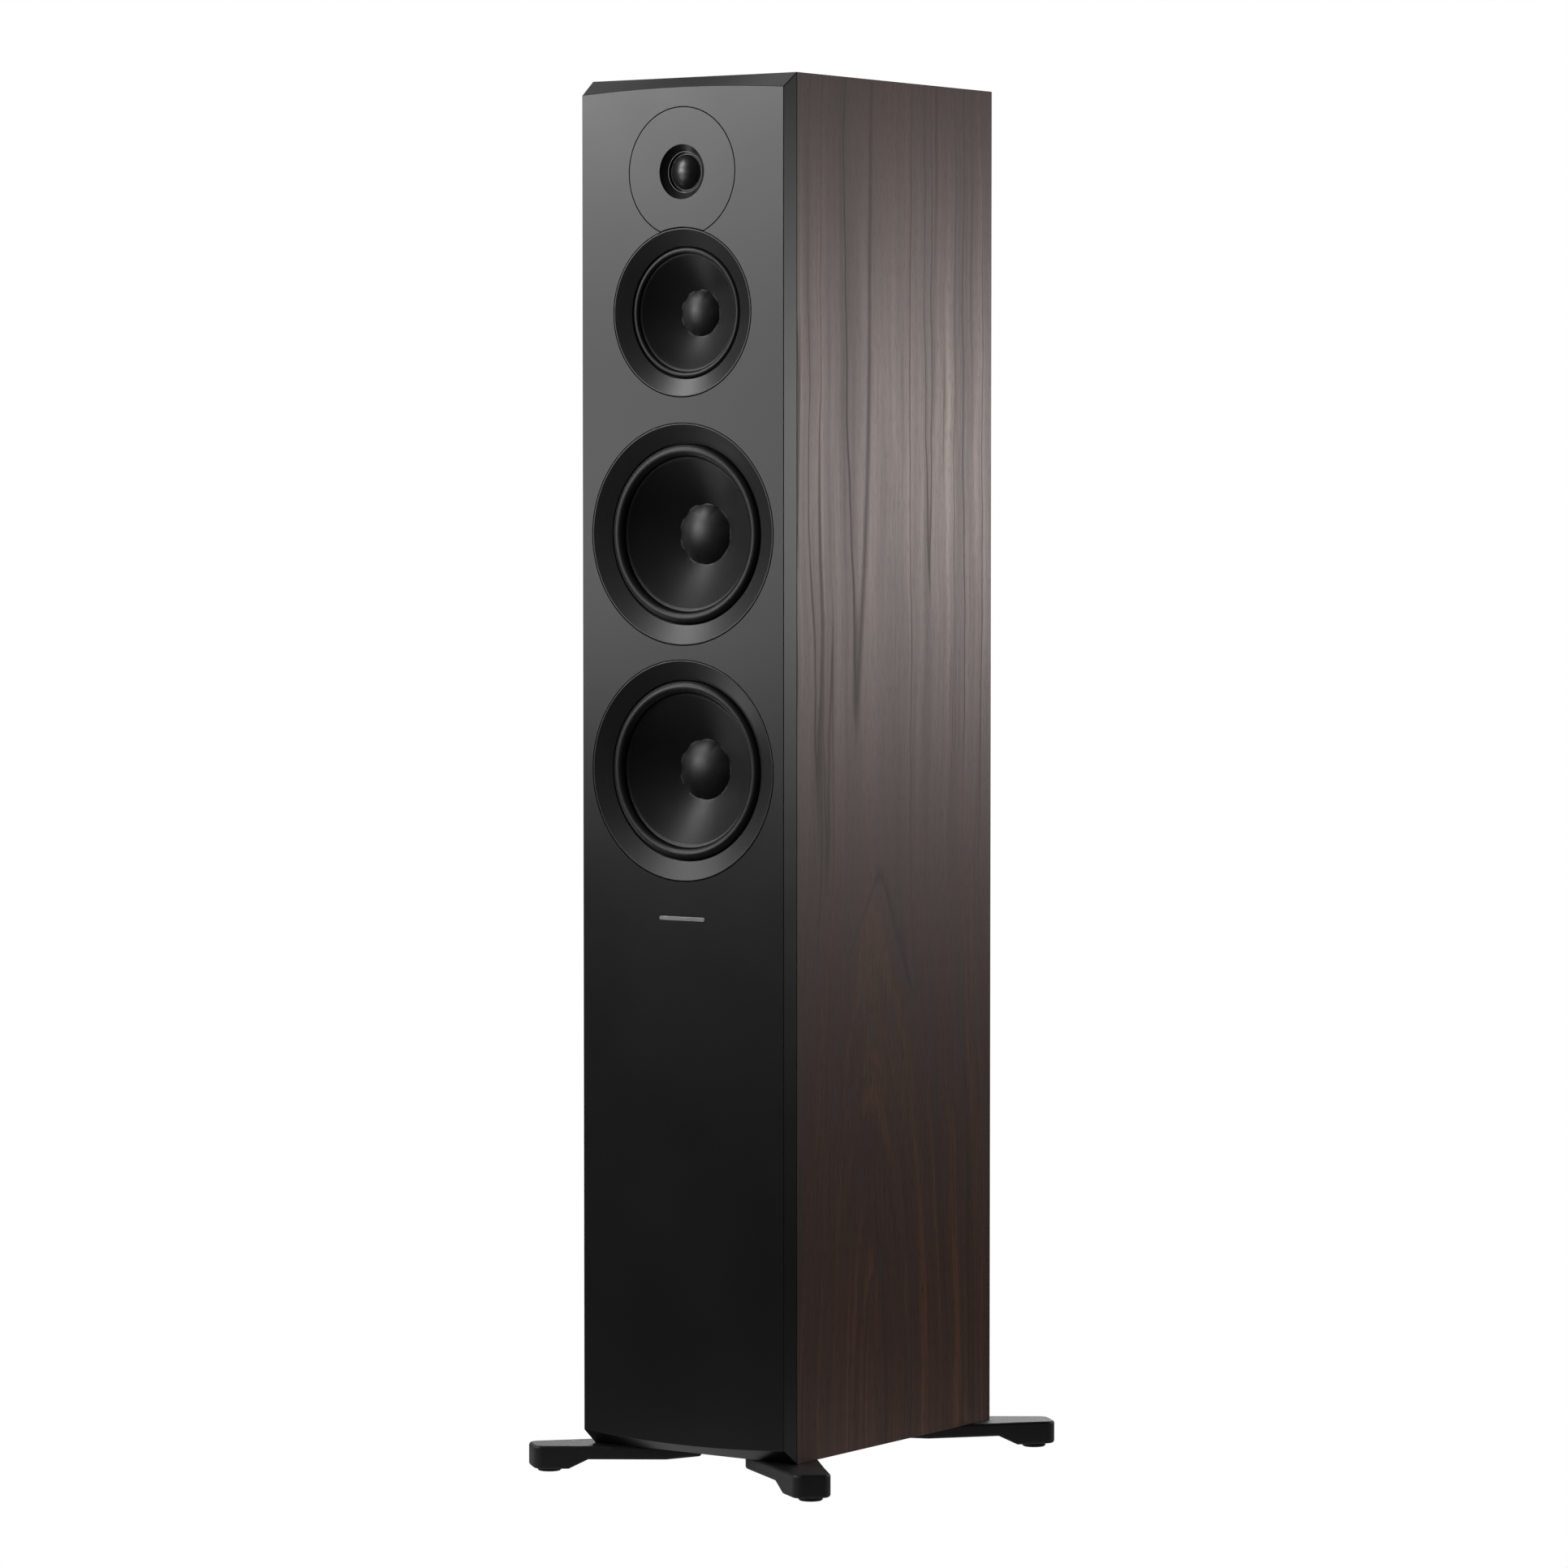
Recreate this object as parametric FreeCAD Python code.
"""Three-way floorstanding loudspeaker, 1.16 m tall, on four outrigger feet.

Frame: millimetres, +Z up, +X to the right seen from the front, and the front
faces -Y. The origin is on the floor, under the middle of the bottom panel.
Depths into a driver are counted from the front plane of the baffle.
"""
import FreeCAD, Part
import math
import os

V = FreeCAD.Vector

# ---- cabinet -------------------------------------------------------------
CABINET_WIDTH = 206.0
CABINET_HEIGHT = 1138.5
CABINET_DEPTH = 310.0
FLOOR_GAP = 23.0  # cabinet bottom above the floor
WALL = 18.0
BAFFLE_FACING = 17.0  # thickness of the lacquered front layer
BAFFLE_PLUG = 8.0  # inner layer of the baffle, between the walls
FACET = 1.35  # how far each baffle side leans in over the facing
TOP_BEVEL_SIDE = 12.6  # height of the top bevel at the sides
TOP_BEVEL_MIDDLE = 9.1
BOTTOM_BEVEL_SIDE = 13.1
BOTTOM_BEVEL_MIDDLE = 9.1

REAR = (CABINET_DEPTH - BAFFLE_FACING) / 2  # the carcass is centred on the origin
SEAM = -REAR  # where the facing meets the side panels
FRONT = SEAM - BAFFLE_FACING
BOTTOM = FLOOR_GAP
TOP = FLOOR_GAP + CABINET_HEIGHT
HALF = CABINET_WIDTH / 2
INSIDE_X = HALF - WALL
INSIDE_BOTTOM = BOTTOM + WALL
INSIDE_TOP = TOP - WALL
INSIDE_FRONT = SEAM + BAFFLE_PLUG
INSIDE_REAR = REAR - WALL

# ---- drivers: height of the axis, and every radius and depth ---------------
TWEETER_Z = 1083.0
MIDRANGE_Z = 968.0
UPPER_WOOFER_Z = 786.0
LOWER_WOOFER_Z = 591.2

WOOFER = {
    "ring": 91.1, "ring_inner": 75.0, "ring_depth": 5.9, "flange": 89.0, "hole": 80.0,
    "roll_centre": 69.0, "roll": 5.5, "cone_edge": 63.5, "cone_rim": 62.3, "cap": 25.0,
    "cap_depth": 33.5, "cap_rise": 9.0, "former": 26.1, "spider_outer": 60.0, "spider_depth": 48.0,
    "gap_depth": 66.0, "winding": 16.0, "plate": 50.0, "magnet": 55.0, "magnet_inner": 33.0,
    "magnet_length": 20.0, "screw_circle": 84.5, "screws": 6,
}
MIDRANGE = {
    "ring": 69.0, "ring_inner": 54.5, "ring_depth": 5.6, "flange": 67.0, "hole": 58.0,
    "roll_centre": 51.2, "roll": 2.9, "cone_edge": 48.3, "cone_rim": 47.2, "cap": 19.0,
    "cap_depth": 27.0, "cap_rise": 7.0, "former": 19.4, "spider_outer": 42.0, "spider_depth": 36.0,
    "gap_depth": 50.0, "winding": 10.0, "plate": 38.0, "magnet": 42.0, "magnet_inner": 25.0,
    "magnet_length": 16.0, "screw_circle": 62.5, "screws": 4,
}
RING_RIM = 1.0  # flat rim around each trim ring
RING_GAP = 0.5  # dark gap between a ring and the baffle
RING_BACK = 9.0
FLANGE_THICKNESS = 4.0
GASKET = 1.0
SHELL = 1.0  # cone and surround thickness
CONE_SLANT = 1.3  # the cone's thickness measured along the axis
WAVE = 2.0  # height of the spider's corrugations
WAVES = 4
STEEL_PLATE = 8.0
POLE_STEP = 0.5  # how far a pole's face lies behind the front plate's
COIL_CLEARANCE = 0.7
BASKET_WALL = 3.0
SPOKES = 6
WINDOW_SHARE = 0.525  # of a basket's circumference
BASKET_NECK = 2.0  # between the former and the seat of the magnet
GLUE = 0.3  # gap that flexible glue fills

PLATE_RADIUS = 53.0  # tweeter face plate
PLATE_THICKNESS = 8.0
HORN_MOUTH = 22.3
HORN_THROAT = 16.5
HORN_DEPTH = 4.8
DOME_RADIUS = 14.3
DOME_BASE_DEPTH = 6.6
DOME_RISE = 6.0
DOME_SKIN = 0.4
TWEETER_FLANGE = 41.5
TWEETER_FLANGE_THICKNESS = 3.0
TWEETER_SCREW_CIRCLE = 37.5
TWEETER_HOLE = 34.5
TWEETER_MAGNET = 32.0
TWEETER_MAGNET_INNER = 17.0
TWEETER_MAGNET_LENGTH = 9.0
TWEETER_YOKE = 4.0
TWEETER_FORMER = 14.1
TWEETER_WINDING = 2.2
TWEETER_CHAMBER = 26.0
CHAMBER_SKIN = 2.5
CHAMBER_STEP = 2.0  # how much narrower the rear chamber is than the magnet
FORMER_WALL = 0.5
WINDING = 0.8  # how far a driver's winding stands out from its former

# ---- fasteners -------------------------------------------------------------
SCREW_RADIUS = 2.0
SCREW_HEAD = 3.9
SCREW_END_DEPTH = 24.0

# ---- inside the cabinet ------------------------------------------------------
BRACE = 12.0
BRACE_HEIGHTS = (250.0, 470.0, 683.0)
BRACE_WINDOW_X = 50.0
BRACE_WINDOW_Y = (-100.0, 90.0)
CHAMBER_SHELF_Z = 882.0
CHAMBER_WALL_Y = 20.0
WOOL = 15.0
WOOL_START = -95.0  # Y, clear of the baskets
WIRE_X = (38.0, 43.0, 38.0, 46.0)  # the leads of both woofers, the midrange and the tweeter
WIRE_SHAFT = 66.0  # Y of the vertical runs inside the brace windows
WIRE = 1.8
WIRE_DROP = 15.0  # the upper leads turn forwards this far under the chamber's shelf
WIRE_LIFT = 8.0  # the upper leads run this far behind the lower ones
WIRE_END_X = (20.0, 8.0)  # where the woofer leads and the upper leads meet their drivers
TERMINAL_WIRE_Y = 98.0
BOARD_Z = 49.0
BOARD = (-70.0, 70.0, -100.0, 100.0)
BOARD_THICKNESS = 2.0
BOARD_LEG = 4.0
BOARD_LEG_INSET = 8.0
COILS = ((-38.0, -66.0, 24.0), (36.0, -66.0, 20.0), (-38.0, 0.0, 20.0), (-38.0, 62.0, 18.0))  # x, y, radius
CAPACITORS = ((-22.0, 12.0), (6.0, 12.0), (32.0, 10.0), (56.0, 8.0))  # y, radius
CAPACITOR_START = 10.0
CAPACITOR_LENGTH = 46.0
RESISTOR_ROWS = (76.0, 88.0)
RESISTOR = (4.0, 54.0, 8.0)  # start, end, width and height

# ---- rear ports and terminals ------------------------------------------------
PORT_HEIGHTS = (400.0, 770.0)
PORT_BORE = 25.0
PORT_WALL = 3.5
PORT_LENGTH = 110.0
PORT_FLARE = 12.0
PORT_HOLE = 33.8
PORT_LIP = 42.0
PORT_COLLAR = 22.0  # length of the wider part that fills the hole in the back
PORT_TAPER = 6.0
LIP = 3.0  # how far lips stand proud of the back
TERMINAL_Z = 190.0
TERMINAL_WIDTH = 108.0
TERMINAL_HEIGHT = 88.0
TERMINAL_CORNER = 6.0  # corner radius of the lip, with a screw at its centre
DISH_CORNER = 4.0
DISH_CLEARANCE = 0.5  # between the dish and its cut-out
DISH_WIDTH = 84.0
DISH_HEIGHT = 64.0
DISH_WALL = 3.0
DISH_FLOOR = 122.0  # Y of the face that the posts stand on
POST_SPACING = 40.0
POST_RADIUS = 4.0
POST_END = 146.5
STUD_TAIL = 12.0  # how far a stud stands out inside the cabinet
NUT_RADIUS = 7.0
NUT = 5.0
SOCKET_RADIUS = 2.0
SOCKET_DEPTH = 20.0
COLLAR_RADIUS = 9.0
COLLAR = 4.0
WASHER_RADIUS = 8.5
WASHER = 1.6
CAP_RADIUS = 9.5
CAP_LENGTH = 20.4
CAP_FLUTES = 10
FLUTE_RADIUS = 1.6
FLUTE_CENTRE = 10.1
FLUTE_MARGIN = (3.0, 2.0)  # plain collar left at the cabinet's end and at the outer end
THREAD_GAP = 0.05
FACE_GAP = 0.3

# ---- feet --------------------------------------------------------------------
PAD_X = 133.0
PAD_Y = 170.1
PAD_RADIUS = 10.0
PAD_HEIGHT = 3.0
PAD_CHAMFER = 0.8
BOSS_BOTTOM = 3.5
ARM_THICKNESS = 11.5
SLOPE_START = 15.7  # inboard of the pad, where the boss starts to thin
SLOPE_END = 32.0
FOOT_EDGE = 1.3
CUTTER_REACH = 160.0  # past both ends of a foot
ARM_ANGLE = math.atan2(64.6, -83.0)  # plan direction of the right front arm
SPINDLE_RADIUS = 4.0
SPINDLE_NECK = 3.0
SPINDLE_TOP = 19.5
SPINDLE_HOLE_TOP = 20.0
BOLT_RADIUS = 3.0
BOLT_HEAD = 5.0
BOLT_HEAD_SPAN = (1.0, 5.0)  # above the underside of the arm
BOLT_KEY_DEPTH = 2.5
BOLT_SHORT = 2.0  # how far a bolt stops short of its insert's end
INSERT_RADIUS = 5.5
INSERT_LENGTH = 14.0
FOOT_BOLTS = ((48.0, -101.5), (74.0, -127.5))  # right front foot
# Corners of the right front foot in plan, each with its corner radius.
FOOT_OUTLINE = (
    (132.3, -192.3, 6.5), (155.4, -171.7, 6.5), (130.0, -144.5, 40.0), (78.7, -87.0, 8.0),
    (61.0, -80.3, 8.0), (25.7, -97.5, 5.0), (40.0, -130.5, 8.0), (110.0, -177.1, 30.0),
)
SIDES = (("front_left", -1, 1), ("front_right", 1, 1), ("rear_left", -1, -1), ("rear_right", 1, -1))


def box(x0, x1, y0, y1, z0, z1):
    return Part.makeBox(x1 - x0, y1 - y0, z1 - z0, V(x0, y0, z0))


def rod_y(radius, y0, y1, x, z):
    return Part.makeCylinder(radius, y1 - y0, V(x, y0, z), V(0, 1, 0))


def rod_z(radius, z0, z1, x, y):
    return Part.makeCylinder(radius, z1 - z0, V(x, y, z0), V(0, 0, 1))


def turned(profile, z, x=0.0, start=FRONT):
    """Solid turned about the Y axis line at (x, z) from (radius, depth) corners.

    A corner with a third value is the middle of an arc to the next corner.
    """
    points = [(V(x + p[0], start + p[1], z), len(p) == 3) for p in profile]
    points.append(points[0])
    edges = []
    at = 0
    while at < len(points) - 1:
        here = points[at][0]
        if points[at + 1][1]:
            edges.append(Part.Arc(here, points[at + 1][0], points[at + 2][0]).toShape())
            at += 2
        else:
            edges.append(Part.LineSegment(here, points[at + 1][0]).toShape())
            at += 1
    face = Part.Face(Part.Wire(edges))
    return face.revolve(V(x, 0, z), V(0, 1, 0), 360)


def dome_middle(radius, base, rise):
    """Half-way point of the round arc from (radius, base) to the tip at base - rise."""
    sphere = (radius ** 2 + rise ** 2) / (2 * rise)
    half = math.asin(radius / sphere) / 2
    return sphere * math.sin(half), base - rise + sphere * (1 - math.cos(half)), "arc"


def rounded_outline(corners, z):
    """Closed wire at height z through the corners, each rounded by its own radius."""
    edges = []
    last = None
    for i, (x, y, radius) in enumerate(corners):
        corner = V(x, y, z)
        before = V(*corners[i - 1][:2], z) - corner
        after = V(*corners[(i + 1) % len(corners)][:2], z) - corner
        half_angle = before.getAngle(after) / 2
        cut = radius / math.tan(half_angle)
        start = corner + before.normalize() * cut
        end = corner + after.normalize() * cut
        inward = (before + after).normalize()
        middle = corner + inward * (radius / math.sin(half_angle) - radius)
        if last:
            edges.append(Part.LineSegment(last, start).toShape())
        else:
            first = start
        edges.append(Part.Arc(start, middle, end).toShape())
        last = end
    edges.append(Part.LineSegment(last, first).toShape())
    return Part.Wire(edges)


def around(count, radius, z, turn=0.0):
    """Points (x, z) evenly spaced on a circle about a driver's axis."""
    for i in range(count):
        angle = turn + 2 * math.pi * i / count
        yield radius * math.cos(angle), z + radius * math.sin(angle)


def cone_back(driver, radius):
    """Depth of the back of the cone at a radius between its rim and its cap."""
    rise = (driver["cap_depth"] - RING_BACK) / (driver["cone_rim"] - driver["cap"])
    return RING_BACK + (driver["cone_rim"] - radius) * rise + CONE_SLANT


def screw_places():
    """Axis (x, z) and head depth of every screw that holds a driver."""
    for driver, z in DRIVERS:
        turn = math.pi / driver["screws"]
        for place in around(driver["screws"], driver["screw_circle"], z, turn):
            yield place, RING_BACK
    for place in around(4, TWEETER_SCREW_CIRCLE, TWEETER_Z, math.pi / 4):
        yield place, PLATE_THICKNESS


def terminal_screw_places():
    for sx in (-1, 1):
        for sz in (-1, 1):
            yield (sx * (TERMINAL_WIDTH / 2 - TERMINAL_CORNER),
                   TERMINAL_Z + sz * (TERMINAL_HEIGHT / 2 - TERMINAL_CORNER))


def screw(x, z, depth, length):
    head = SCREW_HEAD - SCREW_RADIUS
    profile = ((0, depth), (SCREW_HEAD, depth), (SCREW_RADIUS, depth + head),
               (SCREW_RADIUS, depth + length), (0, depth + length))
    return turned(profile, z, x)


def back_screw(x, z, length):
    """A countersunk screw driven forwards through the terminal plate's lip."""
    head = SCREW_HEAD - SCREW_RADIUS
    profile = ((0, LIP), (SCREW_HEAD, LIP), (SCREW_RADIUS, LIP - head),
               (SCREW_RADIUS, LIP - length), (0, LIP - length))
    return turned(profile, z, x, REAR)


DRIVERS = ((WOOFER, UPPER_WOOFER_Z), (WOOFER, LOWER_WOOFER_Z), (MIDRANGE, MIDRANGE_Z))


# ---- cabinet pieces ----------------------------------------------------------
def front_baffle():
    """Bevelled facing lofted to the carcass outline, with a plug and driver cut-outs."""
    back = Part.makePolygon([V(-HALF, SEAM, BOTTOM), V(HALF, SEAM, BOTTOM),
                             V(HALF, SEAM, TOP), V(-HALF, SEAM, TOP), V(-HALF, SEAM, BOTTOM)])
    side = HALF - FACET
    low = BOTTOM + BOTTOM_BEVEL_SIDE
    high = TOP - TOP_BEVEL_SIDE
    corners = [V(-side, FRONT, low), V(side, FRONT, low), V(side, FRONT, high), V(-side, FRONT, high)]
    front = Part.Wire([
        Part.Arc(corners[0], V(0, FRONT, BOTTOM + BOTTOM_BEVEL_MIDDLE), corners[1]).toShape(),
        Part.LineSegment(corners[1], corners[2]).toShape(),
        Part.Arc(corners[2], V(0, FRONT, TOP - TOP_BEVEL_MIDDLE), corners[3]).toShape(),
        Part.LineSegment(corners[3], corners[0]).toShape(),
    ])
    baffle = Part.makeLoft([back, front], True, True)
    plug = box(-INSIDE_X, INSIDE_X, SEAM, INSIDE_FRONT, INSIDE_BOTTOM, INSIDE_TOP)
    baffle = baffle.fuse(plug)
    seat = RING_BACK + FLANGE_THICKNESS + GASKET
    cuts = []
    for driver, z in DRIVERS:
        cuts.append(rod_y(driver["ring"] + RING_GAP, FRONT - 1, FRONT + seat, 0, z))
        cuts.append(rod_y(driver["hole"], FRONT, INSIDE_FRONT + 1, 0, z))
    plate_seat = PLATE_THICKNESS + TWEETER_FLANGE_THICKNESS + GASKET
    cuts.append(rod_y(PLATE_RADIUS + RING_GAP, FRONT - 1, FRONT + PLATE_THICKNESS, 0, TWEETER_Z))
    cuts.append(rod_y(TWEETER_FLANGE + RING_GAP, FRONT, FRONT + plate_seat, 0, TWEETER_Z))
    cuts.append(rod_y(TWEETER_HOLE, FRONT, INSIDE_FRONT + 1, 0, TWEETER_Z))
    for (x, z), depth in screw_places():
        cuts.append(rod_y(SCREW_RADIUS, FRONT + depth, FRONT + SCREW_END_DEPTH, x, z))
    return baffle.cut(cuts)


def side_panel(sign):
    x0, x1 = sorted((sign * INSIDE_X, sign * HALF))
    return box(x0, x1, SEAM, REAR, BOTTOM, TOP)


def top_panel():
    return box(-INSIDE_X, INSIDE_X, SEAM, REAR, INSIDE_TOP, TOP)


def bottom_panel():
    panel = box(-INSIDE_X, INSIDE_X, SEAM, REAR, BOTTOM, INSIDE_BOTTOM)
    return panel.cut([rod_z(INSERT_RADIUS, BOTTOM, BOTTOM + INSERT_LENGTH, x, y)
                      for x, y in all_bolts()])


def back_panel():
    panel = box(-INSIDE_X, INSIDE_X, INSIDE_REAR, REAR, INSIDE_BOTTOM, INSIDE_TOP)
    cuts = [rod_y(PORT_HOLE, INSIDE_REAR, REAR, 0, z) for z in PORT_HEIGHTS]
    width = DISH_WIDTH / 2 + DISH_WALL
    height = DISH_HEIGHT / 2 + DISH_WALL
    cuts.append(box(-width, width, INSIDE_REAR, REAR, TERMINAL_Z - height, TERMINAL_Z + height))
    for x, z in terminal_screw_places():
        cuts.append(rod_y(SCREW_RADIUS, REAR - SCREW_END_DEPTH / 2, REAR, x, z))
    return panel.cut(cuts)


def cabinet_braces():
    """Window braces that tie the side, front and back panels together."""
    braces = []
    for z in BRACE_HEIGHTS:
        brace = box(-INSIDE_X, INSIDE_X, INSIDE_FRONT, INSIDE_REAR, z, z + BRACE)
        window = box(-BRACE_WINDOW_X, BRACE_WINDOW_X, *BRACE_WINDOW_Y, z, z + BRACE)
        braces.append(brace.cut(window))
    return Part.makeCompound(braces)


def midrange_chamber():
    """Shelf and wall that close the midrange and tweeter off from the woofers."""
    shelf = box(-INSIDE_X, INSIDE_X, INSIDE_FRONT, CHAMBER_WALL_Y + BRACE,
                CHAMBER_SHELF_Z, CHAMBER_SHELF_Z + BRACE)
    wall = box(-INSIDE_X, INSIDE_X, CHAMBER_WALL_Y, CHAMBER_WALL_Y + BRACE,
               CHAMBER_SHELF_Z + BRACE, INSIDE_TOP)
    holes = [rod_z(2 * WIRE, CHAMBER_SHELF_Z, CHAMBER_SHELF_Z + BRACE, x, 0)
             for x in (WIRE_X[2], WIRE_X[3])]
    return shelf.fuse(wall).removeSplitter().cut(holes)


def damping_wool():
    """Lining on both side walls of each compartment between the braces."""
    floors = [INSIDE_BOTTOM] + [z + BRACE for z in BRACE_HEIGHTS] + [CHAMBER_SHELF_Z + BRACE]
    ceilings = list(BRACE_HEIGHTS) + [CHAMBER_SHELF_Z, INSIDE_TOP]
    pads = []
    for floor, ceiling in zip(floors, ceilings):
        rear = CHAMBER_WALL_Y if floor > CHAMBER_SHELF_Z else INSIDE_REAR
        for sign in (-1, 1):
            x0, x1 = sorted((sign * INSIDE_X, sign * (INSIDE_X - WOOL)))
            pads.append(box(x0, x1, WOOL_START, rear, floor, ceiling))
    return Part.makeCompound(pads)


# ---- ports and terminals ------------------------------------------------------
def port_tubes():
    mouth = PORT_BORE + PORT_FLARE
    bend = PORT_FLARE * (1 - math.sqrt(0.5))
    outer = PORT_BORE + PORT_WALL
    profile = ((PORT_BORE, -PORT_LENGTH), (PORT_BORE, LIP - PORT_FLARE),
               (PORT_BORE + bend, LIP - bend, "arc"), (mouth, LIP), (PORT_LIP, LIP),
               (PORT_LIP, 0), (PORT_HOLE, 0), (PORT_HOLE, -PORT_COLLAR),
               (outer, -PORT_COLLAR - PORT_TAPER), (outer, -PORT_LENGTH))
    return Part.makeCompound([turned(profile, z, 0, REAR) for z in PORT_HEIGHTS])


def rounded_box(width, height, radius, y0, y1, z):
    shape = box(-width / 2, width / 2, y0, y1, z - height / 2, z + height / 2)
    edges = [e for e in shape.Edges if abs(e.Vertexes[0].Point.y - e.Vertexes[1].Point.y) > 0.1]
    return shape.makeFillet(radius, edges)


def terminal_plate():
    """Recessed dish with a lip that is screwed to the back panel."""
    lip = rounded_box(TERMINAL_WIDTH, TERMINAL_HEIGHT, TERMINAL_CORNER, REAR, REAR + LIP, TERMINAL_Z)
    grown = 2 * (DISH_WALL - DISH_CLEARANCE)
    shell = rounded_box(DISH_WIDTH + grown, DISH_HEIGHT + grown, TERMINAL_CORNER,
                        DISH_FLOOR - DISH_WALL, REAR + LIP / 2, TERMINAL_Z)
    hollow = rounded_box(DISH_WIDTH, DISH_HEIGHT, DISH_CORNER, DISH_FLOOR, REAR + LIP + 1, TERMINAL_Z)
    cuts = [hollow]
    for x in post_places():
        cuts.append(rod_y(POST_RADIUS, DISH_FLOOR - DISH_WALL, DISH_FLOOR, x, TERMINAL_Z))
    cuts += [back_screw(x, z, SCREW_END_DEPTH / 2) for x, z in terminal_screw_places()]
    return lip.fuse(shell).cut(cuts)


def post_places():
    return (-POST_SPACING / 2, POST_SPACING / 2)


def binding_post_studs():
    """Threaded studs with a collar outside, a nut inside and a plug socket in the end."""
    studs = []
    back = DISH_FLOOR - DISH_WALL
    for x in post_places():
        stud = rod_y(POST_RADIUS, back - STUD_TAIL, POST_END, x, TERMINAL_Z)
        collar = rod_y(COLLAR_RADIUS, DISH_FLOOR, DISH_FLOOR + COLLAR, x, TERMINAL_Z)
        nut = rod_y(NUT_RADIUS, back - NUT, back, x, TERMINAL_Z)
        socket = rod_y(SOCKET_RADIUS, POST_END - SOCKET_DEPTH, POST_END + 1, x, TERMINAL_Z)
        studs.append(stud.fuse([collar, nut]).cut(socket))
    return Part.makeCompound(studs)


def post_washer(x):
    y0 = DISH_FLOOR + COLLAR + FACE_GAP
    ring = rod_y(WASHER_RADIUS, y0, y0 + WASHER, x, TERMINAL_Z)
    return ring.cut(rod_y(POST_RADIUS + 2 * THREAD_GAP, y0 - 1, y0 + WASHER + 1, x, TERMINAL_Z))


def post_cap(x):
    """Fluted thumb nut, open at its end so that a plug reaches the stud's socket."""
    y0 = DISH_FLOOR + COLLAR + 2 * FACE_GAP + WASHER
    y1 = y0 + CAP_LENGTH
    cap = rod_y(CAP_RADIUS, y0, y1, x, TERMINAL_Z)
    cuts = [rod_y(POST_RADIUS + THREAD_GAP, y0 - 1, y1 + 1, x, TERMINAL_Z)]
    for fx, fz in around(CAP_FLUTES, FLUTE_CENTRE, TERMINAL_Z):
        cuts.append(rod_y(FLUTE_RADIUS, y0 + FLUTE_MARGIN[0], y1 - FLUTE_MARGIN[1], x + fx, fz))
    return cap.cut(cuts)


# ---- crossover and wiring -------------------------------------------------------
def crossover_board():
    x0, x1, y0, y1 = BOARD
    board = box(x0, x1, y0, y1, BOARD_Z, BOARD_Z + BOARD_THICKNESS)
    inset = BOARD_LEG_INSET
    legs = [rod_z(BOARD_LEG, INSIDE_BOTTOM, BOARD_Z, x, y)
            for x in (x0 + inset, x1 - inset) for y in (y0 + inset, y1 - inset)]
    return board.fuse(legs)


def crossover_coils():
    floor = BOARD_Z + BOARD_THICKNESS
    coils = []
    for x, y, radius in COILS:
        coils.append(rod_z(radius, floor, floor + radius, x, y).cut(
            rod_z(radius / 2, floor, floor + radius, x, y)))
    return Part.makeCompound(coils)


def crossover_components():
    """Capacitors and resistors, lying across the board."""
    floor = BOARD_Z + BOARD_THICKNESS
    parts = []
    for y, radius in CAPACITORS:
        start = V(CAPACITOR_START, y, floor + radius)
        parts.append(Part.makeCylinder(radius, CAPACITOR_LENGTH, start, V(1, 0, 0)))
    x0, x1, width = RESISTOR
    for y in RESISTOR_ROWS:
        parts.append(box(x0, x1, y, y + width, floor, floor + width))
    return Part.makeCompound(parts)


def wire_run(points):
    """A round lead along straight runs, with a ball in each corner."""
    places = [V(*p) for p in points]
    run = []
    for start, end in zip(places, places[1:]):
        run.append(Part.makeCylinder(WIRE, (end - start).Length, start, end - start))
    for corner in places[1:-1]:
        run.append(Part.makeSphere(WIRE, corner))
    return run[0].fuse(run[1:])


def internal_wiring():
    """One lead to each driver from the crossover, and one to each terminal."""
    floor = BOARD_Z + BOARD_THICKNESS
    woofer_back = FRONT + WOOFER["gap_depth"] + STEEL_PLATE * 1.5 + WOOFER["magnet_length"]
    midrange_back = FRONT + MIDRANGE["gap_depth"] + STEEL_PLATE * 1.5 + MIDRANGE["magnet_length"]
    tweeter_back = (FRONT + PLATE_THICKNESS + TWEETER_FLANGE_THICKNESS + TWEETER_MAGNET_LENGTH
                    + TWEETER_YOKE + TWEETER_CHAMBER)
    shaft = WIRE_SHAFT
    under = CHAMBER_SHELF_Z - WIRE_DROP
    leads = []
    for x, z in ((WIRE_X[0], LOWER_WOOFER_Z), (WIRE_X[1], UPPER_WOOFER_Z)):
        end_x = WIRE_END_X[0]
        leads.append(((x, shaft, floor), (x, shaft, z), (x, 0, z), (end_x, 0, z), (end_x, woofer_back, z)))
    for x, z, y in ((WIRE_X[2], MIDRANGE_Z, midrange_back), (WIRE_X[3], TWEETER_Z, tweeter_back)):
        lift = shaft + WIRE_LIFT
        end_x = WIRE_END_X[1]
        leads.append(((x, lift, floor), (x, lift, under), (x, 0, under), (x, 0, z),
                      (end_x, 0, z), (end_x, y, z)))
    post_back = DISH_FLOOR - DISH_WALL - STUD_TAIL
    for x in post_places():
        leads.append(((x, TERMINAL_WIRE_Y, floor), (x, TERMINAL_WIRE_Y, TERMINAL_Z),
                      (x, post_back, TERMINAL_Z)))
    return Part.makeCompound([wire_run(points) for points in leads])


def fixing_screws():
    """Countersunk screws of the drivers and of the terminal plate."""
    screws = [screw(x, z, depth, SCREW_END_DEPTH - depth) for (x, z), depth in screw_places()]
    screws += [back_screw(x, z, SCREW_END_DEPTH / 2) for x, z in terminal_screw_places()]
    return Part.makeCompound(screws)


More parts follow.
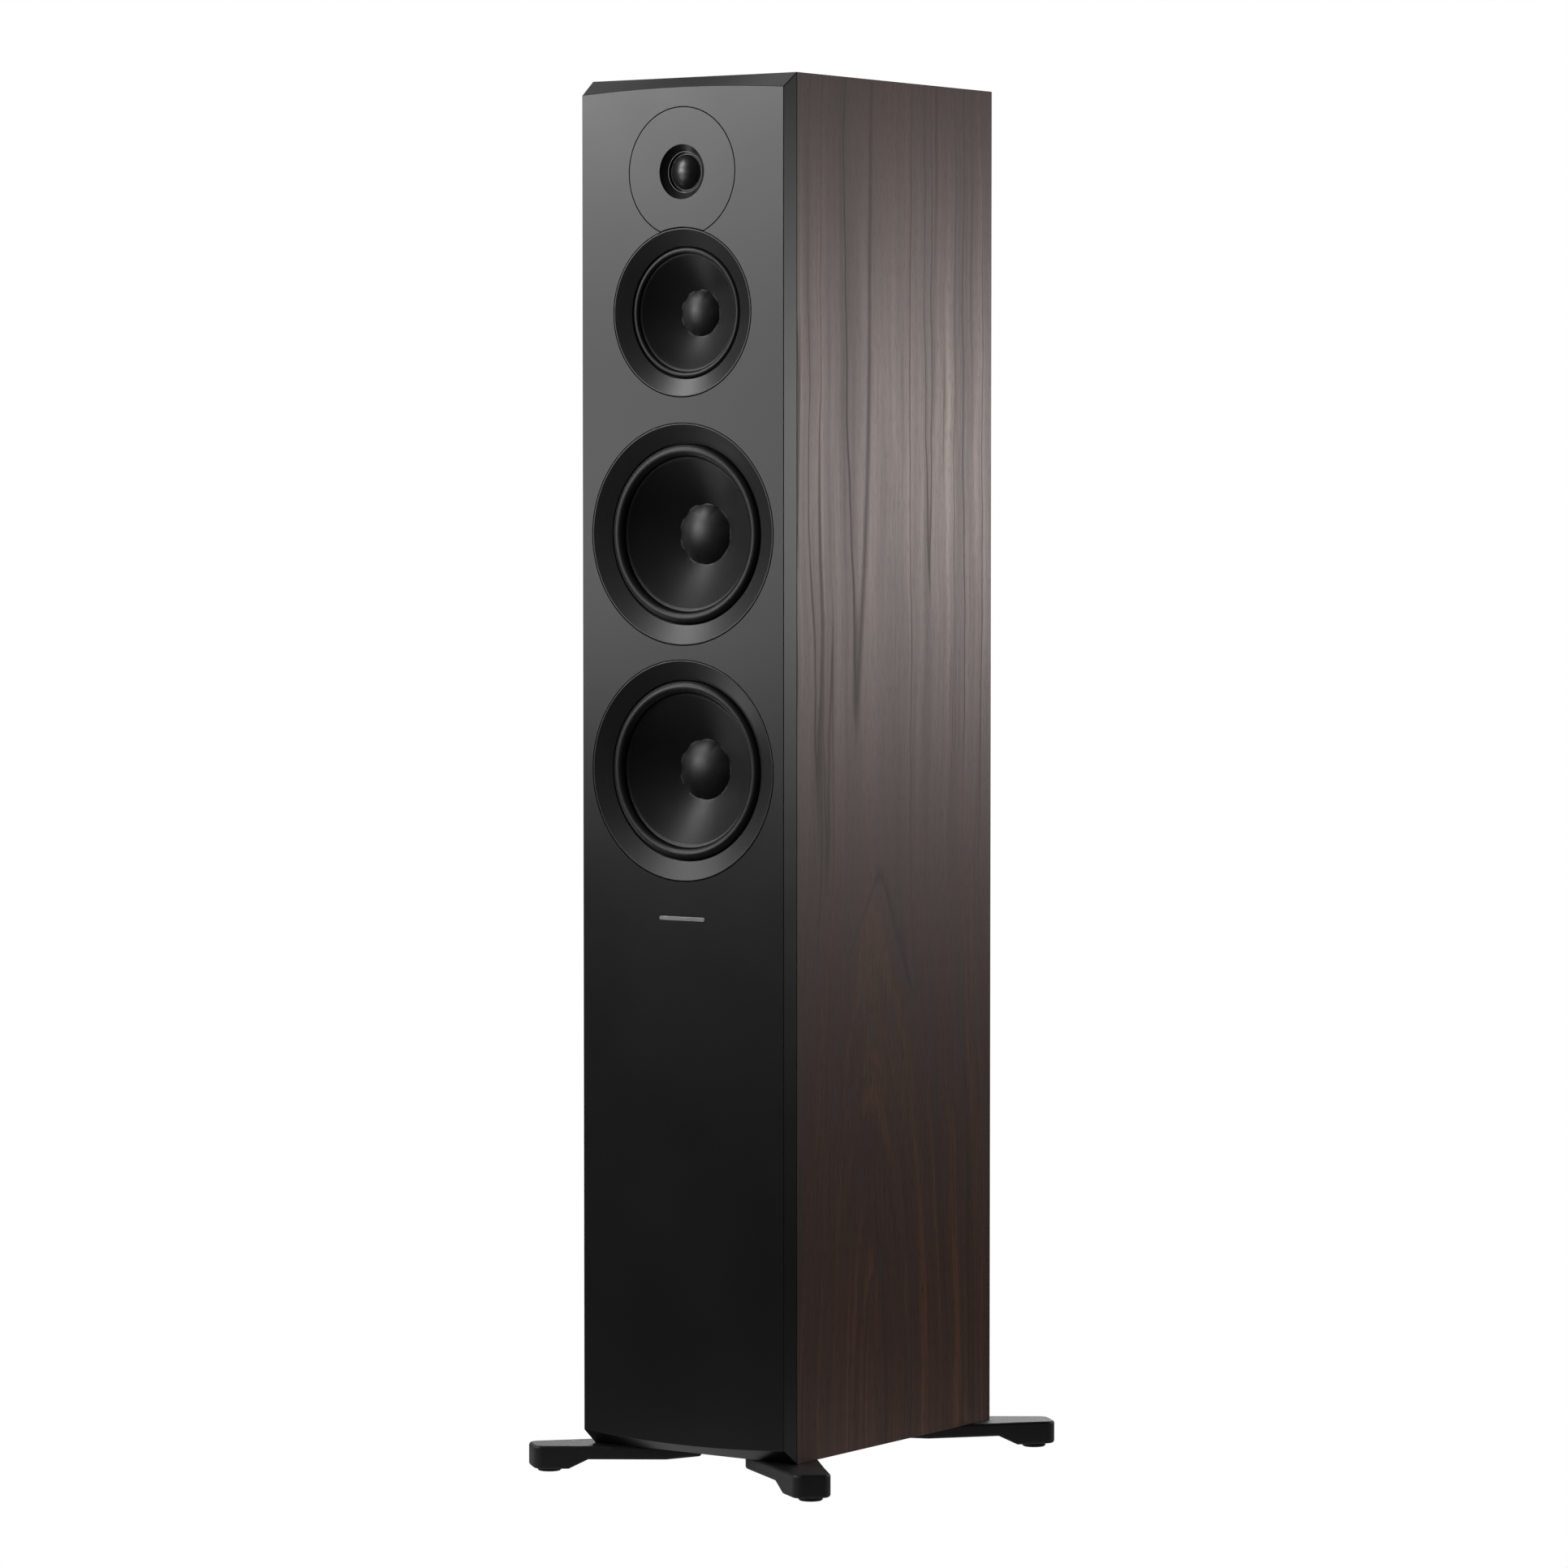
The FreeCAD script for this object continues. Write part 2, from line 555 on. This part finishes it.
def driver_gaskets():
    rings = []
    front = RING_BACK + FLANGE_THICKNESS
    for driver, z in DRIVERS:
        rings.append(turned(((driver["hole"], front), (driver["flange"], front),
                             (driver["flange"], front + GASKET), (driver["hole"], front + GASKET)), z))
    front = PLATE_THICKNESS + TWEETER_FLANGE_THICKNESS
    rings.append(turned(((TWEETER_HOLE, front), (TWEETER_FLANGE, front),
                         (TWEETER_FLANGE, front + GASKET), (TWEETER_HOLE, front + GASKET)), TWEETER_Z))
    holes = [rod_y(SCREW_RADIUS, FRONT, FRONT + SCREW_END_DEPTH, x, z) for (x, z), _ in screw_places()]
    return Part.makeCompound([ring.cut(holes) for ring in rings])


# ---- cone drivers ------------------------------------------------------------------
def trim_ring(d, z):
    """Bezel: a flat rim, a cone sloping inwards, and a step behind for the surround."""
    step = RING_BACK - SHELL
    profile = ((d["ring"], 0), (d["ring"] - RING_RIM, 0), (d["ring_inner"], d["ring_depth"]),
               (d["ring_inner"], step), (d["hole"] + 0.2, step), (d["hole"] + 0.2, RING_BACK),
               (d["ring"], RING_BACK))
    return turned(profile, z)


def surround(d, z):
    """Half-roll of rubber between the cone's rim and the basket."""
    outer = d["roll"]
    inner = d["roll"] - SHELL
    centre = d["roll_centre"]
    front = RING_BACK - SHELL
    skirt = SHELL / 2
    profile = ((d["cone_rim"], RING_BACK), (d["cone_rim"], front), (centre - outer, front),
               (centre, RING_BACK - skirt - outer, "arc"), (centre + outer, front),
               (d["hole"] - 0.5, front), (d["hole"] - 0.5, RING_BACK), (centre + inner, RING_BACK),
               (centre, RING_BACK - inner, "arc"), (centre - inner, RING_BACK))
    return turned(profile, z)


def cone(d, z):
    """One-piece diaphragm: flat rim, straight cone and domed dust cap."""
    cap, depth, rise = d["cap"], d["cap_depth"], d["cap_rise"]
    inner_base = depth + CONE_SLANT
    inner_rise = rise + CONE_SLANT - SHELL
    profile = ((d["cone_edge"], RING_BACK), (d["cone_rim"], RING_BACK), (cap, depth),
               dome_middle(cap, depth, rise), (0, depth - rise), (0, depth - rise + SHELL),
               dome_middle(cap, inner_base, inner_rise), (cap, inner_base),
               (d["cone_rim"], RING_BACK + CONE_SLANT), (d["cone_edge"], RING_BACK + SHELL))
    return turned(profile, z)


def voice_coil(d, z):
    """Former glued to the back of the cone, with the winding in the magnet's gap."""
    outer = d["former"]
    inner = outer - FORMER_WALL
    wound = outer + WINDING
    start = d["gap_depth"] - d["winding"] / 2
    end = d["gap_depth"] + d["winding"] / 2
    profile = ((inner, cone_back(d, inner)), (outer, cone_back(d, outer)), (outer, start),
               (wound, start), (wound, end), (inner, end))
    return turned(profile, z)


def spider(d, z):
    """Corrugated centring disc between the former and the basket."""
    inner = d["former"] + GLUE
    rim = d["spider_outer"] - BASKET_WALL
    depth = d["spider_depth"]
    pitch = (rim - inner) / (2 * WAVES)
    front = [(inner + i * pitch, depth + WAVE * (i % 2)) for i in range(2 * WAVES + 1)]
    front.append((d["spider_outer"], depth))
    back = [(radius, y + SHELL) for radius, y in reversed(front)]
    return turned(front + back, z)


def basket(d, z):
    """Cast frame: mounting flange, six spokes, spider ledge and magnet seat."""
    front = RING_BACK
    behind = front + FLANGE_THICKNESS
    seat = d["gap_depth"] - STEEL_PLATE / 2
    inner = d["roll_centre"] + d["roll"] - 1.0
    ledge = d["spider_outer"]
    depth = d["spider_depth"] + SHELL
    neck = d["former"] + BASKET_NECK
    wall = BASKET_WALL
    profile = ((inner, front), (d["flange"], front), (d["flange"], behind), (inner + wall, behind),
               (ledge + wall, depth), (ledge + wall, depth + wall), (d["plate"], seat),
               (neck, seat), (neck, seat - wall), (d["plate"] - wall, seat - wall),
               (ledge - wall, depth + wall), (ledge - wall, depth), (ledge, depth), (inner, behind))
    frame = turned(profile, z)
    cuts = []
    window = WINDOW_SHARE * ledge * math.pi / SPOKES
    cut = box(-window, window, FRONT + behind + BASKET_WALL, FRONT + depth - BASKET_WALL,
              z + ledge / 2, z + d["flange"])
    for i in range(SPOKES):
        turned_cut = cut.copy()
        turned_cut.rotate(V(0, 0, z), V(0, 1, 0), 360 * i / SPOKES)
        cuts.append(turned_cut)
    turn = math.pi / d["screws"]
    for x, hole_z in around(d["screws"], d["screw_circle"], z, turn):
        cuts.append(screw(x, hole_z, front, SCREW_END_DEPTH - front))
    return frame.cut(cuts)


def ring(inner, outer, front, back, z):
    return turned(((inner, front), (outer, front), (outer, back), (inner, back)), z)


def driver_magnets():
    """Ferrite rings, one behind each driver's front plate."""
    magnets = []
    for d, z in DRIVERS:
        front = d["gap_depth"] + STEEL_PLATE / 2
        magnets.append(ring(d["magnet_inner"], d["magnet"], front, front + d["magnet_length"], z))
    front = PLATE_THICKNESS + TWEETER_FLANGE_THICKNESS
    magnets.append(ring(TWEETER_MAGNET_INNER, TWEETER_MAGNET, front,
                        front + TWEETER_MAGNET_LENGTH, TWEETER_Z))
    return Part.makeCompound(magnets)


def motor_pair(former, plate, front, plate_thickness, magnet_length, yoke, z):
    """Front plate and yoke of one motor; the coil's gap lies between them."""
    winding = former + WINDING
    pole = former - FORMER_WALL - COIL_CLEARANCE
    pole_front = front + POLE_STEP
    back = front + plate_thickness + magnet_length
    top = ring(winding + COIL_CLEARANCE, plate, front, front + plate_thickness, z)
    yoke_profile = ((0, pole_front), (pole, pole_front), (pole, back), (plate, back),
                    (plate, back + yoke), (0, back + yoke))
    return top, turned(yoke_profile, z)


def driver_motor_steel():
    parts = []
    for d, z in DRIVERS:
        front = d["gap_depth"] - STEEL_PLATE / 2
        parts += motor_pair(d["former"], d["plate"], front, STEEL_PLATE, d["magnet_length"],
                            STEEL_PLATE, z)
    top, yoke = motor_pair(TWEETER_FORMER, TWEETER_FLANGE, PLATE_THICKNESS, TWEETER_FLANGE_THICKNESS,
                           TWEETER_MAGNET_LENGTH, TWEETER_YOKE, TWEETER_Z)
    yoke = yoke.common(rod_y(TWEETER_MAGNET, FRONT, FRONT + 40, 0, TWEETER_Z))
    places = around(4, TWEETER_SCREW_CIRCLE, TWEETER_Z, math.pi / 4)
    top = top.cut([screw(x, z, PLATE_THICKNESS, SCREW_END_DEPTH - PLATE_THICKNESS) for x, z in places])
    return Part.makeCompound(parts + [top, yoke])


# ---- tweeter -----------------------------------------------------------------------
def tweeter_faceplate():
    """Round plate with a short horn, cut away below by the midrange's ring."""
    profile = ((HORN_MOUTH, 0), (PLATE_RADIUS, 0), (PLATE_RADIUS, PLATE_THICKNESS),
               (HORN_THROAT, PLATE_THICKNESS), (HORN_THROAT, HORN_DEPTH))
    plate = turned(profile, TWEETER_Z)
    gap = MIDRANGE["ring"] + 2 * RING_GAP
    return plate.cut(rod_y(gap, FRONT - 1, FRONT + PLATE_THICKNESS + 1, 0, MIDRANGE_Z))


def tweeter_dome():
    """Soft dome with the small half-roll around it, made in one piece."""
    base, rise, radius = DOME_BASE_DEPTH, DOME_RISE, DOME_RADIUS
    back = base + DOME_SKIN
    inner = radius - DOME_SKIN
    roll = (HORN_THROAT - GLUE - radius) / 2
    profile = ((radius + 2 * roll, base), (radius + roll, base - roll, "arc"), (radius, base),
               dome_middle(radius, base, rise), (0, base - rise), (0, base - rise + DOME_SKIN),
               dome_middle(inner, back, rise), (inner, back), (radius + 2 * roll, back))
    return turned(profile, TWEETER_Z)


def tweeter_voice_coil():
    """Short former behind the dome, wound where it stands in the magnet's gap."""
    outer = TWEETER_FORMER
    inner = outer - 0.3
    wound = outer + 0.4
    front = DOME_BASE_DEPTH + DOME_SKIN
    start = PLATE_THICKNESS + (TWEETER_FLANGE_THICKNESS - TWEETER_WINDING) / 2
    end = start + TWEETER_WINDING
    return turned(((inner, front), (outer, front), (outer, start), (wound, start), (wound, end),
                   (inner, end)), TWEETER_Z)


def tweeter_rear_chamber():
    """Sealed cup behind the tweeter's yoke."""
    front = PLATE_THICKNESS + TWEETER_FLANGE_THICKNESS + TWEETER_MAGNET_LENGTH + TWEETER_YOKE
    back = front + TWEETER_CHAMBER
    outer = TWEETER_MAGNET - CHAMBER_STEP
    inner = outer - CHAMBER_SKIN
    floor = back - CHAMBER_SKIN
    return turned(((outer, front), (outer, back), (0, back), (0, floor), (inner, floor),
                   (inner, front)), TWEETER_Z)


# ---- feet ----------------------------------------------------------------------------
def placed(shape, side_x, side_y):
    """A right front foot piece, mirrored to its own corner."""
    if side_x < 0:
        shape = shape.mirror(V(0, 0, 0), V(1, 0, 0))
    if side_y < 0:
        shape = shape.mirror(V(0, 0, 0), V(0, 1, 0))
    return shape


def all_bolts():
    return [(sx * x, sy * y) for _, sx, sy in SIDES for x, y in FOOT_BOLTS]


def foot():
    """Right front outrigger: thin arm under the cabinet, thick boss over the pad."""
    body = Part.Face(rounded_outline(FOOT_OUTLINE, BOSS_BOTTOM)).extrude(V(0, 0, BOTTOM - BOSS_BOTTOM))
    rim = [e for e in body.Edges if all(abs(v.Point.z - BOTTOM) < 1e-6 for v in e.Vertexes)]
    body = body.makeFillet(FOOT_EDGE, rim)
    along = V(math.cos(ARM_ANGLE), math.sin(ARM_ANGLE), 0)
    across = V(-along.y, along.x, 0) * CUTTER_REACH
    pad = V(PAD_X, -PAD_Y, 0)
    under = BOTTOM - ARM_THICKNESS
    profile = ((SLOPE_START, BOSS_BOTTOM - 1), (SLOPE_START, BOSS_BOTTOM), (SLOPE_END, under),
               (CUTTER_REACH, under), (CUTTER_REACH, BOSS_BOTTOM - 1))
    points = [pad + along * s + V(0, 0, z) - across for s, z in profile]
    cutter = Part.Face(Part.makePolygon(points + points[:1])).extrude(across * 2)
    cuts = [cutter, rod_z(SPINDLE_RADIUS + THREAD_GAP, 0, SPINDLE_HOLE_TOP, PAD_X, -PAD_Y)]
    for x, y in FOOT_BOLTS:
        cuts.append(rod_z(BOLT_RADIUS, 0, BOTTOM, x, y))
        cuts.append(rod_z(BOLT_HEAD, 0, under + BOLT_HEAD_SPAN[1], x, y))
    return body.cut(cuts)


def foot_bolts():
    """Socket-head screws, up through the feet into the inserts."""
    low, high = (BOTTOM - ARM_THICKNESS + z for z in BOLT_HEAD_SPAN)
    bolts = []
    for x, y in all_bolts():
        head = rod_z(BOLT_HEAD, low, high, x, y)
        key = rod_z(BOLT_HEAD / 2, low, low + BOLT_KEY_DEPTH, x, y)
        shank = rod_z(BOLT_RADIUS, high, BOTTOM + INSERT_LENGTH - BOLT_SHORT, x, y)
        bolts.append(head.cut(key).fuse(shank))
    return Part.makeCompound(bolts)


def threaded_inserts():
    inserts = []
    for x, y in all_bolts():
        sleeve = rod_z(INSERT_RADIUS, BOTTOM, BOTTOM + INSERT_LENGTH, x, y)
        inserts.append(sleeve.cut(rod_z(BOLT_RADIUS, BOTTOM, BOTTOM + INSERT_LENGTH, x, y)))
    return Part.makeCompound(inserts)


def leveller_pad():
    """Round pad with a pocket for the spindle's neck."""
    pad = rod_z(PAD_RADIUS, 0, PAD_HEIGHT, PAD_X, -PAD_Y)
    pad = pad.makeChamfer(PAD_CHAMFER, [pad.Edges[0], pad.Edges[2]])
    return pad.cut(rod_z(SPINDLE_NECK + THREAD_GAP, PAD_HEIGHT / 2, PAD_HEIGHT + 1, PAD_X, -PAD_Y))


def leveller_spindle():
    neck = rod_z(SPINDLE_NECK, PAD_HEIGHT / 2 + THREAD_GAP, PAD_HEIGHT + FACE_GAP, PAD_X, -PAD_Y)
    thread = rod_z(SPINDLE_RADIUS, PAD_HEIGHT + FACE_GAP, SPINDLE_TOP, PAD_X, -PAD_Y)
    return neck.fuse(thread)


def nodes():
    """Every sub-part by name."""
    made = {
        "front_baffle": front_baffle(), "left_side_panel": side_panel(-1),
        "right_side_panel": side_panel(1), "top_panel": top_panel(), "bottom_panel": bottom_panel(),
        "back_panel": back_panel(), "cabinet_braces": cabinet_braces(),
        "midrange_chamber": midrange_chamber(), "damping_wool": damping_wool(),
        "port_tubes": port_tubes(), "terminal_plate": terminal_plate(),
        "binding_post_studs": binding_post_studs(), "crossover_board": crossover_board(),
        "crossover_coils": crossover_coils(), "crossover_components": crossover_components(),
        "internal_wiring": internal_wiring(), "fixing_screws": fixing_screws(),
        "driver_gaskets": driver_gaskets(), "driver_magnets": driver_magnets(),
        "driver_motor_steel": driver_motor_steel(), "threaded_inserts": threaded_inserts(),
        "foot_bolts": foot_bolts(), "tweeter_faceplate": tweeter_faceplate(),
        "tweeter_dome": tweeter_dome(), "tweeter_voice_coil": tweeter_voice_coil(),
        "tweeter_rear_chamber": tweeter_rear_chamber(),
    }
    for post, x in zip(("negative", "positive"), post_places()):
        made["post_washer_" + post] = post_washer(x)
        made["post_cap_" + post] = post_cap(x)
    for name, (driver, z) in zip(("upper_woofer", "lower_woofer", "midrange"), DRIVERS):
        for make in (trim_ring, surround, cone, voice_coil, spider, basket):
            made[name + "_" + make.__name__] = make(driver, z)
    for corner, side_x, side_y in SIDES:
        made["foot_" + corner] = placed(foot(), side_x, side_y)
        made["leveller_pad_" + corner] = placed(leveller_pad(), side_x, side_y)
        made["leveller_spindle_" + corner] = placed(leveller_spindle(), side_x, side_y)
    return made


os.makedirs("parts", exist_ok=True)
for name, shape in nodes().items():
    shape.exportStep("parts/" + name + ".step")
    print(name, shape.isValid(), len(shape.Solids), round(shape.Volume / 1000, 2))
